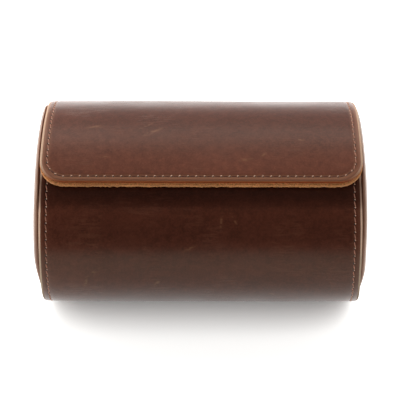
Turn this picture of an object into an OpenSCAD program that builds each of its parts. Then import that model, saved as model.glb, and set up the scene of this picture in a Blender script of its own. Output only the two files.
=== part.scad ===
// Watch travel case: an oval leather roll with a magnetic flap, two compartments
// and two removable watch pillows.
// +X runs along the roll, the front is -Y, and the origin is the middle of the base.

/* [Case] */
// Length of the leather along the roll
case_length = 140; // [120:1:220]
// Depth of the oval roll, front to back
case_depth = 106; // [98:1:130]
// Height of the full oval, before its base is flattened
oval_height = 80.8; // [74:0.2:92]
// How much the base is flattened where it rests
base_flat = 1.2; // [0.6:0.1:2.4]

/* [Wall] */
// Thickness of the outer leather
leather_thick = 1.6; // [1.2:0.1:2.2]
// Thickness of the stiff shell board under the leather
board_thick = 1.4; // [1:0.1:2.4]
// Thickness of the suede lining
lining_thick = 0.9; // [0.6:0.1:1.4]
// How far the shell board stops short of the leather's end edges
board_setback = 0.6; // [0.3:0.1:2]
// Direction of the front wall's top edge, in degrees up from the front
lip_angle = 73; // [68:1:80]
// Thickness of the binding on the front wall's top edge
binding_thick = 1.2; // [0.8:0.1:2]
// Width of the binding's inner leaf
binding_leaf = 7; // [4:0.5:12]

/* [Flap] */
// Direction of the flap's front edge, in degrees up from the front
flap_angle = 58; // [55:1:62]
// Direction of the hinge line, in degrees up from the front
hinge_angle = 155; // [150:1:162]
// Thickness of the flap's stiffener
stiffener_thick = 1.0; // [0.8:0.1:1.6]
// Direction where the stiffener ends and the flap can bend
stiffener_end = 127; // [115:1:132]
// Width of the flap's margin outside the stiffener
flap_margin = 4.6; // [3.6:0.1:6]
// Radius of the flap's two front corners
flap_corner = 11; // [8:0.5:16]
// How far the suede lining reaches past the leather at the front edge
suede_reach = 1.3; // [0.4:0.1:2.4]
// Gap between the closed flap and the front wall
closing_gap = 0.55; // [0.4:0.05:1.2]
// Slit between the flap and the case along the hinge line
hinge_slit = 0.3; // [0.2:0.05:0.6]

/* [End caps] */
// Depth of an end cap inside the roll
cap_depth = 5; // [4:0.5:8]
// Thickness of the stiff board in an end cap
cap_board = 2; // [1.2:0.1:3]
// Thickness of an end cap's leather
cap_leather = 1.2; // [0.8:0.1:1.8]
// How far an end cap's side stands past the leather's end edge
cap_lip = 0.4; // [0.2:0.1:1.2]
// Rise of an end cap's padded dome
dome_rise = 3.7; // [2:0.1:6]
// Radius of the dome's flat middle
dome_flat = 3; // [2:0.5:14]

/* [Magnets] */
// Diameter of a closing magnet
magnet_d = 8; // [6:0.5:10]
// Thickness of a closing magnet
magnet_thick = 0.7; // [0.5:0.05:0.75]
// Distance between the two magnets of a pair, along the roll
magnet_spacing = 84; // [50:1:110]
// Direction of the magnets, in degrees up from the front
magnet_angle = 67; // [66:0.5:68]
// Clearance round a magnet in its hole
magnet_gap = 0.2; // [0.1:0.05:0.4]

/* [Divider] */
// Thickness of the divider's board
divider_board_thick = 1.6; // [1:0.1:3]
// Height of the divider's top edge above the oval's middle
divider_rise = 18; // [8:1:24]
// Width of the leather binding on the divider's top edge
divider_binding_height = 5; // [3:0.5:8]

/* [Pillows] */
// Gap between a watch pillow and each end of its compartment
pillow_end_gap = 2.2; // [1:0.1:6]
// Depth of a watch pillow, front to back
pillow_depth = 60; // [52:1:64]
// Height of a watch pillow
pillow_height = 45; // [38:1:48]
// Thickness of a pillow's suede sleeve
sleeve_thick = 1; // [0.6:0.1:1.6]
// Thickness of a pillow's end panel
end_panel_thick = 1.8; // [1:0.1:3]
// Height of a resting pillow above the lining
pillow_gap = 0.3; // [0.2:0.05:0.6]

/* [Hidden] */
// The oval is a four-centre one on a 3-4-5 triangle, so every arc meets the next
// on one radial line and each layer is a true parallel of the next.
half_length = case_length / 2;
case_oval = oval_of(case_depth, oval_height);
pillow_oval = oval_of(pillow_depth, pillow_height);
axis_z = oval_height / 2 - base_flat;
far = 2 * case_depth;

board_inset = leather_thick;
lining_inset = board_inset + board_thick;
wall_thick = lining_inset + lining_thick;
binding_angle = degrees_along(binding_thick);
leaf_angle = degrees_along(binding_leaf);

flap_thick = leather_thick + stiffener_thick + lining_thick;
hinge_point = on_side(hinge_angle);
slit_angle = hinge_slit / side_r(case_oval) * 180 / PI;
outline_angle = flap_angle + 6;
closing_angle = (flap_angle + lip_angle) / 2;
closing_arm = turn_arm(closing_angle);
flap_lift = asin((flap_thick + closing_gap) / closing_arm);

cap_inset = lining_inset;
cap_inner_x = half_length - cap_depth;
dome_x = half_length + cap_lip;
dome_run = side_r(case_oval) - cap_inset - dome_flat;
dome_steps = 6;

divider_thick = divider_board_thick + 2 * lining_thick;
bay_length = cap_inner_x - lining_thick - divider_thick / 2;
pillow_x = divider_thick / 2 + bay_length / 2;
pillow_length = bay_length - 2 * pillow_end_gap;
pillow_z = axis_z - oval_height / 2 + base_flat + wall_thick + pillow_gap + pillow_height / 2;

hide = [0.42, 0.26, 0.20];
suede = [0.72, 0.46, 0.26];
card = [0.55, 0.47, 0.38];
foam = [0.85, 0.84, 0.80];
steel = [0.70, 0.71, 0.73];

// An oval as [half depth, half height, step], where the step sets its four centres.
function oval_of(depth, height) = [depth / 2, height / 2, (depth - height) / 4];
function side_c(o) = 3 * o[2];
function crown_c(o) = 4 * o[2];
function side_r(o) = o[0] - side_c(o);
function crown_r(o) = side_r(o) + 5 * o[2];
function join_x(o, inset) = side_c(o) + 0.6 * (side_r(o) - inset);
// Points [y, z] of the roll's outer face, by direction up from the front.
function on_side(angle) =
    [side_c(case_oval) - side_r(case_oval) * cos(angle), side_r(case_oval) * sin(angle)];
function on_crown(angle) =
    [-crown_r(case_oval) * cos(angle), crown_r(case_oval) * sin(angle) - crown_c(case_oval)];
function degrees_along(length) = length / crown_r(case_oval) * 180 / PI;
// How far a point of the flap moves outward for each radian of its turn.
function turn_arm(angle) =
    let (from_hinge = on_crown(angle) - hinge_point)
    -cos(angle) * from_hinge[1] - sin(angle) * from_hinge[0];

// Cross-sections lie in a plane where x is the row's Y and y is its Z.
module along_x(from, to) {
    translate([from, 0, axis_z]) rotate([90, 0, 90])
        linear_extrude(to - from) children();
}

module oval(o, inset = 0) {
    crown = crown_r(o) - inset;
    side = side_r(o) - inset;
    join = join_x(o, inset);
    intersection() {
        translate([0, -crown_c(o)]) circle(crown, $fn = 180);
        translate([0, crown_c(o)]) circle(crown, $fn = 180);
        square([2 * join, 2 * o[1]], center = true);
    }
    for (way = [-1, 1]) intersection() {
        translate([way * side_c(o), 0]) circle(side, $fn = 120);
        translate([way * (join + o[0]), 0]) square([2 * o[0], 2 * o[1]], center = true);
    }
}

module case_section(inset) {
    intersection() {
        oval(case_oval, inset);
        translate([-far, inset - axis_z]) square([2 * far, far]);
    }
}

module ring(inset, thick) {
    difference() {
        case_section(inset);
        case_section(inset + thick);
    }
}

// Where a direction of the crown or of the side starts, at the oval's middle height,
// and where it ends, well outside.
function crown_foot(angle) = [-crown_c(case_oval) / tan(angle), 0];
function crown_far(angle) =
    [-far * cos(angle), far * sin(angle) - crown_c(case_oval)];
function side_far(angle) = [side_c(case_oval) - far * cos(angle), far * sin(angle)];

// The part of the section below the opening, from the front wall's edge to the hinge.
module below(front, back) {
    polygon([crown_foot(front), crown_far(front), [-far, far], [-far, -far],
        [far, -far], side_far(back), [side_c(case_oval), 0]]);
}

// The part of the section above the opening, from a crown direction to a side direction.
module above(front, back) {
    polygon([crown_foot(front), crown_far(front), [0, 2 * far], [far, far],
        side_far(back), [side_c(case_oval), 0]]);
}

// A wedge of the crown between two directions.
module crown_wedge(from, to) {
    polygon([crown_foot(from), crown_far(from), crown_far(to), crown_foot(to)]);
}

module case_layer(inset, thick, half, front) {
    along_x(-half, half) intersection() {
        ring(inset, thick);
        below(front, hinge_angle);
    }
}

module body_leather() {
    color(hide) case_layer(0, leather_thick, half_length, lip_angle);
}

module body_board() {
    color(card) difference() {
        case_layer(board_inset, board_thick, half_length - board_setback,
            lip_angle - binding_angle);
        magnets(board_inset + board_thick / 2, magnet_d + 2 * magnet_gap, far / 20);
    }
}

module body_lining() {
    color(suede) case_layer(lining_inset, lining_thick, cap_inner_x - lining_thick,
        lip_angle - binding_angle);
}

// The turned edge of the front wall: it caps the board and the lining and
// folds down over the lining's inner face.
module lip_binding() {
    half = cap_inner_x - lining_thick;
    color(hide) along_x(-half, half) {
        intersection() {
            ring(board_inset, wall_thick - board_inset);
            crown_wedge(lip_angle - binding_angle, lip_angle);
        }
        intersection() {
            ring(wall_thick, lining_thick);
            crown_wedge(lip_angle - leaf_angle, lip_angle);
        }
    }
}

// The pair of magnet discs, centred on the given depth under the roll's outer face.
module magnets(depth, diameter, thick) {
    for (way = [-1, 1])
        translate([way * magnet_spacing / 2, 0, axis_z - crown_c(case_oval)])
            rotate([90 - magnet_angle, 0, 0])
                translate([0, 0, crown_r(case_oval) - depth])
                    cylinder(h = thick, d = diameter, center = true, $fn = 48);
}

module body_magnets() {
    color(steel) magnets(board_inset + board_thick / 2, magnet_d, magnet_thick);
}

// One end cap is drawn at the right end and mirrored for the left one.
module on_end(way) {
    if (way > 0) children();
    else mirror([1, 0, 0]) children();
}

// Whole thousandths print exactly, so neighbouring arcs of the dome meet exactly.
function thousandths(value) = round(value * 1000) / 1000;

// The dome's rise and setback, from its rim to its flat middle, as [inset, x] steps.
function dome_steps_of(thick) = [
    for (step = [0:dome_steps])
        let (turn = 90 * step / dome_steps)
        [thousandths(cap_inset + thick + (dome_run - thick) * (1 - cos(turn))),
         thousandths(dome_x - thick + dome_rise * sin(turn))]
];

// One arc's dome, turned about the arc's own centre of the oval, from an inner radius.
// Half and whole turns keep its ends exact.
module dome_turn(radius, inner, angle, from_x, steps) {
    top = steps[len(steps) - 1];
    rotate(-angle / 2) rotate_extrude(angle = angle, $fn = 180)
        polygon(concat(
            [[inner, from_x], [radius - steps[0][0], from_x]],
            [for (step = steps) [radius - step[0], step[1]]],
            [[inner, top[1]]]
        ));
}

// The shares of the section that belong to one side arc and to one crown arc.
module side_share(way) {
    side = side_c(case_oval);
    reach = oval_height / 4;
    polygon([[way * side, 0], [way * (side + 3 * reach), 4 * reach],
        [way * (side + 3 * reach), -4 * reach]]);
}

module crown_share(way) {
    side = side_c(case_oval);
    reach = oval_height / 4;
    polygon([[side, 0], [side + 3 * reach, way * 4 * reach],
        [-side - 3 * reach, way * 4 * reach], [-side, 0]]);
}

// The padded dome, a thickness under its leather's face, from its open back at from_x.
module dome(from_x, thick) {
    steps = dome_steps_of(thick);
    depth = 2 * half_length;
    intersection() {
        translate([0, 0, axis_z]) rotate([90, 0, 90]) for (way = [-1, 1]) {
            intersection() {
                translate([way * side_c(case_oval), 0, 0]) rotate(90 - way * 90)
                    dome_turn(side_r(case_oval), 0, 360, from_x, steps);
                linear_extrude(depth) side_share(way);
            }
            intersection() {
                translate([0, -way * crown_c(case_oval), 0]) rotate(way * 90)
                    dome_turn(crown_r(case_oval), 0.8 * crown_c(case_oval), 180,
                        from_x, steps);
                linear_extrude(depth) crown_share(way);
            }
        }
        translate([0, -far, cap_inset + thick]) cube(2 * far);
    }
}

module cap_leather(way) {
    color(hide) on_end(way) difference() {
        dome(cap_inner_x, 0);
        dome(cap_inner_x - cap_leather, cap_leather);
    }
}

module cap_padding(way) {
    color(foam) on_end(way) dome(cap_inner_x + cap_board, cap_leather);
}

module cap_board_disc(way) {
    color(card) on_end(way) along_x(cap_inner_x, cap_inner_x + cap_board)
        case_section(cap_inset + cap_leather);
}

module cap_lining(way) {
    color(suede) on_end(way) along_x(cap_inner_x - lining_thick, cap_inner_x)
        case_section(cap_inset);
}

// The divider fills the lined section up to a straight top edge.
module divider_section(top) {
    intersection() {
        case_section(wall_thick);
        translate([-far, -far]) square([2 * far, far + top]);
    }
}

module divider_board() {
    half = divider_board_thick / 2;
    color(card) along_x(-half, half) divider_section(divider_rise);
}

module divider_lining(way) {
    near = divider_board_thick / 2;
    color(suede) on_end(way) along_x(near, near + lining_thick)
        divider_section(divider_rise);
}

// A strip folded over the divider's top edge.
module divider_binding() {
    half = divider_thick / 2;
    color(hide) difference() {
        along_x(-half - lining_thick, half + lining_thick) intersection() {
            divider_section(divider_rise + lining_thick);
            translate([-far, divider_rise - divider_binding_height]) square([2 * far, far]);
        }
        along_x(-half, half) divider_section(divider_rise);
    }
}

// The flap is drawn in line with the oval, then lifted about the hinge line
// until it lies over the front wall.
module flap_placed() {
    hinge = [0, hinge_point[0], axis_z + hinge_point[1]];
    translate(hinge) rotate([-flap_lift, 0, 0]) translate(-hinge) children();
}

// The flap's outline as a block that stands on the crown, with round front corners.
module flap_outline(margin, reach) {
    radius = flap_corner - margin;
    edge = half_length - margin;
    front = margin - reach
        - crown_r(case_oval) * sin(outline_angle - flap_angle);
    translate([0, 0, axis_z - crown_c(case_oval)]) rotate([90 - outline_angle, 0, 0])
        linear_extrude(far) difference() {
            translate([-edge, front]) square([2 * edge, far]);
            for (way = [-1, 1]) translate([way * (edge - radius), front + radius])
                corner_waste(way, radius);
        }
}

// What a round front corner takes away, beside and below the corner's centre.
module corner_waste(way, radius) {
    difference() {
        translate([(way - 1) * radius, -2 * radius]) square(2 * radius);
        circle(radius, $fn = 96);
    }
}

module flap_layer(inset, thick, back, half) {
    along_x(-half, half) intersection() {
        ring(inset, thick);
        above(flap_angle - 6, back);
    }
}

module flap_leather() {
    color(hide) flap_placed() intersection() {
        flap_layer(0, leather_thick, hinge_angle - slit_angle, half_length);
        flap_outline(0, 0);
    }
}

module stiffener_shape() {
    intersection() {
        flap_layer(leather_thick, stiffener_thick, stiffener_end, half_length);
        flap_outline(flap_margin, 0);
    }
}

module flap_stiffener() {
    color(card) flap_placed() difference() {
        stiffener_shape();
        magnets(leather_thick + stiffener_thick / 2, magnet_d + 2 * magnet_gap, far / 20);
    }
}

// The suede backs the leather: thick at the margin, recessed for the stiffener
// and thin where the flap bends at the hinge.
module flap_lining() {
    color(suede) flap_placed() difference() {
        intersection() {
            union() {
                flap_layer(leather_thick, flap_thick - leather_thick, stiffener_end + 2,
                    half_length);
                flap_layer(leather_thick, lining_thick, hinge_angle - slit_angle,
                    half_length);
            }
            flap_outline(0, suede_reach);
        }
        stiffener_shape();
    }
}

module flap_magnets() {
    color(steel) flap_placed()
        magnets(leather_thick + stiffener_thick / 2, magnet_d, magnet_thick);
}

// A pillow's parts are drawn round its own axis, between two distances from the
// middle of the compartment.
module pillow_part(way, from, to) {
    translate([way * pillow_x, 0, pillow_z - axis_z])
        on_end(way) along_x(from, to) children();
}

module pillow_foam(way) {
    half = pillow_length / 2 - end_panel_thick;
    color(foam) pillow_part(way, -half, half) oval(pillow_oval, sleeve_thick);
}

module pillow_sleeve(way) {
    half = pillow_length / 2 - end_panel_thick;
    color(suede) pillow_part(way, -half, half) difference() {
        oval(pillow_oval);
        oval(pillow_oval, sleeve_thick);
    }
}

module pillow_end(way, side) {
    half = pillow_length / 2;
    near = side > 0 ? half - end_panel_thick : -half;
    color(suede) pillow_part(way, near, near + end_panel_thick) oval(pillow_oval);
}

body_leather();
body_board();
body_lining();
lip_binding();
body_magnets();
cap_leather(-1);  // left_cap_leather
cap_padding(-1);  // left_cap_padding
cap_board_disc(-1);  // left_cap_board
cap_lining(-1);  // left_cap_lining
cap_leather(1);  // right_cap_leather
cap_padding(1);  // right_cap_padding
cap_board_disc(1);  // right_cap_board
cap_lining(1);  // right_cap_lining
divider_board();
divider_lining(-1);  // divider_left_lining
divider_lining(1);  // divider_right_lining
divider_binding();
flap_leather();
flap_stiffener();
flap_lining();
flap_magnets();
pillow_foam(-1);  // left_pillow_foam
pillow_sleeve(-1);  // left_pillow_sleeve
pillow_end(-1, 1);  // left_pillow_outer_end
pillow_end(-1, -1);  // left_pillow_inner_end
pillow_foam(1);  // right_pillow_foam
pillow_sleeve(1);  // right_pillow_sleeve
pillow_end(1, 1);  // right_pillow_outer_end
pillow_end(1, -1);  // right_pillow_inner_end
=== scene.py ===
"""A leather watch roll: the hide, the suede, the padded ends, the stitching and the pillows."""

import math

import bmesh
import bpy
import numpy as np
from mathutils import Matrix, Vector, noise


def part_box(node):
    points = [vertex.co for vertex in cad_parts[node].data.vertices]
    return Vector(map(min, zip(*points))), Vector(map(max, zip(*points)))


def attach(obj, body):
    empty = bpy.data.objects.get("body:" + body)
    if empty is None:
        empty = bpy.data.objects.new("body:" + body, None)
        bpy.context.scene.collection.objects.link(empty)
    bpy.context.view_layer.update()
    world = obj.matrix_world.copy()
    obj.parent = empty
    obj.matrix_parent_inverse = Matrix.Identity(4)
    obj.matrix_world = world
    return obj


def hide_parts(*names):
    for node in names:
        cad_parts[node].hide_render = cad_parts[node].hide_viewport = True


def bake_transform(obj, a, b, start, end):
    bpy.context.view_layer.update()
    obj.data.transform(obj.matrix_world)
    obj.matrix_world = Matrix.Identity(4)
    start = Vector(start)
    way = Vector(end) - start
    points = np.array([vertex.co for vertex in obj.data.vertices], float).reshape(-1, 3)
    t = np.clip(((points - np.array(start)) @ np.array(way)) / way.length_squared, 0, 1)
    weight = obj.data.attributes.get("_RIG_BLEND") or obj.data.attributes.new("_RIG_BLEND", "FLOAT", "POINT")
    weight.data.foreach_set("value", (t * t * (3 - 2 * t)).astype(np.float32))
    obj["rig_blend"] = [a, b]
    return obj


bl_info = {
    "name": "Leather Watch Roll",
    "version": (1, 0, 0),
    "blender": (4, 5, 0),
    "location": "View3D > Sidebar > Watch Roll",
    "description": "Models the leather, suede, stitching and pads of a watch roll",
    "category": "Object",
}

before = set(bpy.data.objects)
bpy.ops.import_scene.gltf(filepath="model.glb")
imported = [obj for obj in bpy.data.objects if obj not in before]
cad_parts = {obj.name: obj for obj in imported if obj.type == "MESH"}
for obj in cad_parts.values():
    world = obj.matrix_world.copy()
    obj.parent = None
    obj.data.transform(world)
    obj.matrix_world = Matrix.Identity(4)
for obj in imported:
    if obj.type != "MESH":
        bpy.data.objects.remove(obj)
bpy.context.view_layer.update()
MM = 0.001

# The roll's section, in millimetres: arcs from the front wall's edge, down the front,
# under the roll, up the back and over the top to the flap's front edge.
# Each arc is its centre's Y and Z, its radius, and its first and last direction in
# degrees from +Y towards +Z.
ARCS = (
    (0.0, 14.0, 65.6, 107.0, 126.8699),
    (-18.9, 39.2, 34.1, 126.8699, 233.1301),
    (0.0, 64.4, 65.6, 233.1301, 306.8699),
    (18.9, 39.2, 34.1, 306.8699, 413.1301),
    (0.0, 14.0, 65.6, 413.1301, 482.0),
)
UNDER = 2  # the arc that the roll stands on
MIDDLE_Z = 39.2
# how far the oval turns in its wide arcs and in its tight ones
WIDE, TIGHT = 73.7398, 106.2602
HINGE = (49.805, 53.611)
FLAP_LIFT = math.radians(3.7624)
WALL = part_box("body_leather")[1].x / MM
# the hide's cut ends stand a little proud of the wall under it
HALF = WALL + 0.4
# the thickness of hide and suede, half the linings' length, and how deep the body's lie
HIDE, SUEDE = 1.6, 0.9
LINING_HALF, LINING_DEPTH = 64.1, 3.0


def arc_starts():
    found, total = [], 0.0
    for _, _, radius, first, last in ARCS:
        found.append(total)
        total += math.radians(last - first) * radius
    return found + [total]


STARTS = arc_starts()
FLAP_END = STARTS[-1]


def along(arc, degrees):
    """The length along the section at a direction of one of its arcs."""
    return STARTS[arc] + math.radians(degrees - ARCS[arc][3]) * ARCS[arc][2]


FOLD_FROM = along(3, 370.0)
FOLD_TO = along(3, 400.0)
STIFF_END = along(3, 412.0)


def arc_of(s):
    return max(0, min(len(ARCS) - 1, sum(s > start for start in STARTS[1:-1])))


def smooth(t):
    t = min(1.0, max(0.0, t))
    return t * t * (3 - 2 * t)


def lifted_share(s):
    """How much of the flap's lift a point of the section has: none on the case, all on the flap."""
    return smooth((s - FOLD_FROM) / (FOLD_TO - FOLD_FROM))


def direction(s):
    """The direction in radians at a length along the section, before the flap's lift."""
    index = arc_of(s)
    return math.radians(ARCS[index][3]) + (s - STARTS[index]) / ARCS[index][2]


def plain_point(s, depth=0.0):
    """The point at a length along the section and a depth under its face, before the flap's lift."""
    cy, cz, radius, _, _ = ARCS[arc_of(s)]
    a = direction(s)
    return cy + (radius - depth) * math.cos(a), cz + (radius - depth) * math.sin(a)


def on_section(s, depth):
    """The same point as plain_point gives, with the flap's lift, as (y, z)."""
    y, z = plain_point(s, depth)
    if z < depth and arc_of(s) == UNDER:
        z = depth
    w = lifted_share(s)
    if w > 0:
        t = -FLAP_LIFT * w
        dy, dz = y - HINGE[0], z - HINGE[1]
        y = HINGE[0] + dy * math.cos(t) - dz * math.sin(t)
        z = HINGE[1] + dy * math.sin(t) + dz * math.cos(t)
    return y, z


def outward(s):
    """The outward direction at a length along the section, as (y, z)."""
    a = direction(s) - FLAP_LIFT * lifted_share(s)
    return math.cos(a), math.sin(a)


def facing(s):
    """How steeply the roll's side faces up, in degrees: 0 is level and 90 straight up."""
    y, z = outward(s)
    return math.degrees(math.atan2(z, abs(y)))


# The hide was cut and folded by hand, so its two ends aren't quite straight: the length
# along the section, and how far the left and the right end lie to the right of true (mm)
SWAY = (
    (along(1, 180.0), 0.0, 0.0),
    (along(1, 215.0), 0.0, 0.5),
    (along(2, 245.0), 0.0, 0.8),
    (along(2, 290.0), 0.0, 0.5),
    (along(3, 350.0), 0.0, 0.0),
    (FOLD_TO, 0.1, 0.6),
    (along(4, 440.0), 0.35, 0.8),
    (along(4, 470.0), 0.0, 0.75),
    (FLAP_END, -0.1, 0.7),
)


def sway(x, s):
    left, right = (np.interp(s, [r[0] for r in SWAY], [r[i] for r in SWAY]) for i in (1, 2))
    share = (x / HALF + 1) / 2
    return left + (right - left) * share


def place(x, s, depth):
    y, z = on_section(s, depth)
    return Vector((x + sway(x, s), y, z)) * MM


# Working in the mesh


def fresh():
    """Leaves edit mode and deselects everything."""
    if bpy.context.object is not None and bpy.context.object.mode != "OBJECT":
        leave_edit()
    bpy.ops.object.select_all(action="DESELECT")


def take(*pieces):
    fresh()
    for piece in pieces:
        piece.select_set(True)
    bpy.context.view_layer.objects.active = pieces[0]
    return pieces[0]


def named(name):
    piece = bpy.context.object
    piece.name = piece.data.name = name
    return piece


def linked(name, data):
    """A new object in the scene."""
    piece = bpy.data.objects.new(name, data)
    bpy.context.scene.collection.objects.link(piece)
    return piece


def edit_all():
    """Enters edit mode, with everything selected."""
    bpy.ops.object.mode_set(mode="EDIT")
    bpy.ops.mesh.select_all(action="SELECT")


def leave_edit():
    bpy.ops.object.mode_set(mode="OBJECT")


def choose(piece, wanted, kind="verts"):
    """In edit mode, selects the vertices, edges or faces that a test wants."""
    mesh = bmesh.from_edit_mesh(piece.data)
    for group in (mesh.verts, mesh.edges, mesh.faces):
        for item in group:
            item.select = False
    for item in getattr(mesh, kind):
        if wanted(item):
            item.select_set(True)
    mesh.select_flush_mode()
    bmesh.update_edit_mesh(piece.data)


def merge_doubles(distance):
    """In edit mode, merges all vertices that are closer than a distance."""
    bpy.ops.mesh.select_all(action="SELECT")
    bpy.ops.mesh.remove_doubles(threshold=distance)


def close_end(piece, x):
    """In edit mode, closes a piece's open end at x with one face."""
    x *= MM
    choose(piece, lambda e: e.is_boundary and all(abs(v.co.x - x) < 1e-6 for v in e.verts), "edges")
    bpy.ops.mesh.edge_face_add()


def inset_faces(width):
    bpy.ops.mesh.inset(thickness=width * MM, depth=0.0, use_even_offset=True)


def face_outwards():
    """In edit mode, turns every face outwards, and goes back to object mode."""
    bpy.ops.mesh.select_all(action="SELECT")
    bpy.ops.mesh.normals_make_consistent(inside=False)
    leave_edit()


def modify(piece, kind, **settings):
    """Adds a modifier, sets it and applies it."""
    take(piece)
    bpy.ops.object.modifier_add(type=kind)
    modifier = piece.modifiers[-1]
    for key, value in settings.items():
        setattr(modifier, key, value)
    bpy.ops.object.modifier_apply(modifier=modifier.name)


def points_of(piece):
    co = np.empty(len(piece.data.vertices) * 3)
    piece.data.vertices.foreach_get("co", co)
    return co.reshape(-1, 3)


def set_points(piece, co):
    piece.data.vertices.foreach_set("co", np.asarray(co, float).ravel())
    piece.data.update()


def shift(piece, x, z):
    """Moves a piece's points and leaves its origin where it is."""
    set_points(piece, points_of(piece) + np.array([x, 0.0, z]))


def flatten_under(piece, lowest):
    """What hangs lower than a height (mm) is laid flat there."""
    co = points_of(piece)
    co[:, 2] = np.maximum(co[:, 2], lowest * MM)
    set_points(piece, co)


def store(piece, name, values, kind="FLOAT", field="value"):
    """Keeps one value for each vertex of a piece, for its material."""
    attributes = piece.data.attributes
    kept = attributes.get(name) or attributes.new(name, kind, "POINT")
    kept.data.foreach_set(field, np.asarray(values, np.float32).ravel())


def finish_piece(piece, body, material, angle=50.0):
    """Shades a piece smooth, gives it its material and slot, and puts it on its body.

    Each vertex's place at rest is kept, so that patterns stay on a piece that bends.
    """
    take(piece)
    bpy.ops.object.shade_smooth_by_angle(angle=math.radians(angle))
    piece.data.materials.clear()
    piece.data.materials.append(material)
    store(piece, "rest", points_of(piece), "FLOAT_VECTOR", "vector")
    if body is not None:
        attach(piece, body)


# Sheets that follow the roll's section


def spaced(first, last, step):
    count = max(1, round(abs(last - first) / step))
    return [first + (last - first) * i / count for i in range(count + 1)]


def merged(*lists):
    found = []
    for value in sorted(v for values in lists for v in values):
        if not found or value - found[-1] > 0.02:
            found.append(value)
    return found


def rows_between(first, last, step, extra=()):
    """Rows along the section from first to last, with each arc's ends and any extra ones."""
    stops = merged([first, last], [s for s in STARTS if first < s < last])
    rows = [spaced(a, b, step) for a, b in zip(stops, stops[1:], strict=False)]
    return merged(*rows, [s for s in extra if first <= s <= last])


def straight_edge(name, xs, y, z):
    """One edge along X, cut at xs. y and z are one number, or one for each cut."""
    fresh()
    bpy.ops.mesh.primitive_plane_add(size=2, location=(0, 0, 0))
    piece = named(name)
    edit_all()
    choose(piece, lambda v: v.co.y > 0)
    bpy.ops.mesh.delete(type="VERT")
    wanted = len(xs) - 2
    while wanted > 0:
        # one call cuts each chosen edge at most a hundred times
        edges = bmesh.from_edit_mesh(piece.data).edges
        middles = sorted((e.verts[0].co.x + e.verts[1].co.x) / 2 for e in edges)
        cuts = min(wanted, 100) if len(middles) == 1 else 1
        chosen = min(len(middles), wanted)
        last = middles[chosen - 1] + 1e-7
        choose(piece, lambda e, last=last: sum(v.co.x for v in e.verts) / 2 <= last, "edges")
        bpy.ops.mesh.subdivide(number_cuts=cuts)
        wanted -= cuts * chosen
    leave_edit()
    co = points_of(piece)
    order = np.argsort(co[:, 0])
    for axis, values in enumerate((xs, y, z)):
        co[order, axis] = np.asarray(values) * MM
    set_points(piece, co)
    return piece


def turn_edges(centre, degrees, steps):
    """Spins what is selected round a line along X."""
    bpy.ops.mesh.spin(
        steps=steps,
        dupli=False,
        angle=math.radians(degrees),
        use_auto_merge=False,
        center=(0, centre[0] * MM, centre[1] * MM),
        axis=(-1, 0, 0),
    )


def turn_oval(centres, steps):
    """Spins an edge once round an oval, from its underside's front, and joins the ends."""
    edit_all()
    for centre, degrees, count in zip(centres, (WIDE, TIGHT) * 2, steps, strict=True):
        turn_edges(centre, degrees, count)
    merge_doubles(0.00005)


def swept_sheet(name, xs, rows):
    """Sweeps an edge, cut at xs, round the section: one spin for each row."""
    piece = straight_edge(name, xs, *plain_point(rows[0]))
    edit_all()
    for s0, s1 in zip(rows, rows[1:], strict=False):
        cy, cz, radius, _, _ = ARCS[arc_of((s0 + s1) / 2)]
        turn_edges((cy, cz), math.degrees((s1 - s0) / radius), 1)
    leave_edit()
    return piece


def read_sheet(piece, rows):
    """Each vertex's place in the flat sheet, as its x and its length along the section."""
    co = points_of(piece) / MM
    spots = np.array([plain_point(s) for s in rows])
    gap = ((co[:, None, 1:] - spots[None, :, :]) ** 2).sum(2)
    return co[:, 0], np.array(rows)[gap.argmin(1)]


def thicken(piece, thickness):
    """Gives a sheet its inner face, so that its first vertices are the outer face."""
    mesh = piece.data
    face = mesh.polygons[len(mesh.polygons) // 2]
    # the section's middle is behind every face of a sheet that points outwards
    if face.normal.dot(face.center - Vector((face.center.x, 0, MIDDLE_Z * MM))) < 0:
        take(piece)
        edit_all()
        bpy.ops.mesh.flip_normals()
        leave_edit()
    modify(piece, "SOLIDIFY", thickness=thickness * MM, offset=-1.0, use_rim=True)


def sheet(name, xs, rows, thickness):
    """A sheet swept round the section, with each outer vertex's x and length along it."""
    piece = swept_sheet(name, xs, rows)
    x, s = read_sheet(piece, rows)
    thicken(piece, thickness)
    return piece, x, s


# How deep the hide lies at each distance from a cut edge: a rounded edge, a soft
# shoulder, the groove of the stitch row and the full panel.
EDGE_PROFILE = (
    (0.0, 0.98), (0.12, 0.78), (0.35, 0.56), (0.7, 0.38), (1.1, 0.25), (1.7, 0.16),
    (2.3, 0.15), (2.8, 0.24), (3.2, 0.36), (3.6, 0.24), (4.3, 0.1), (5.8, 0.02), (8.0, 0.0),
)
EDGE_CUTS = (0.0, 0.12, 0.35, 0.7, 1.1, 1.7, 2.3, 2.8, 3.2, 3.6, 4.3, 5.8, 8.0, 11.0)
# the steps between rows of hide and of suede, and between cuts across the hide (mm)
HIDE_STEP, SUEDE_STEP, CROSS_STEP = 2.1, 2.4, 4.0


def hide_depth(d):
    return float(np.interp(d, [t[0] for t in EDGE_PROFILE], [t[1] for t in EDGE_PROFILE]))


def waviness(x, s):
    """The hide isn't pressed flat: it rises and falls by about a tenth of a millimetre."""
    spot = Vector((x / 34.0, s / 26.0, 3.7))
    return 0.11 * noise.noise(spot) + 0.05 * noise.noise(spot * 2.7)


def crosswise(step):
    """Cuts along the roll, close together near both cut ends."""
    near = [HALF - d for d in EDGE_CUTS]
    inner = HALF - EDGE_CUTS[-1]
    return merged([-x for x in near], spaced(-inner, inner, step), near)


def flap_rows(step):
    """The flap's rows, close together near its front edge."""
    rows = rows_between(FOLD_TO, FLAP_END - EDGE_CUTS[-1], step)
    return merged(rows, [FLAP_END - d for d in EDGE_CUTS])


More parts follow.
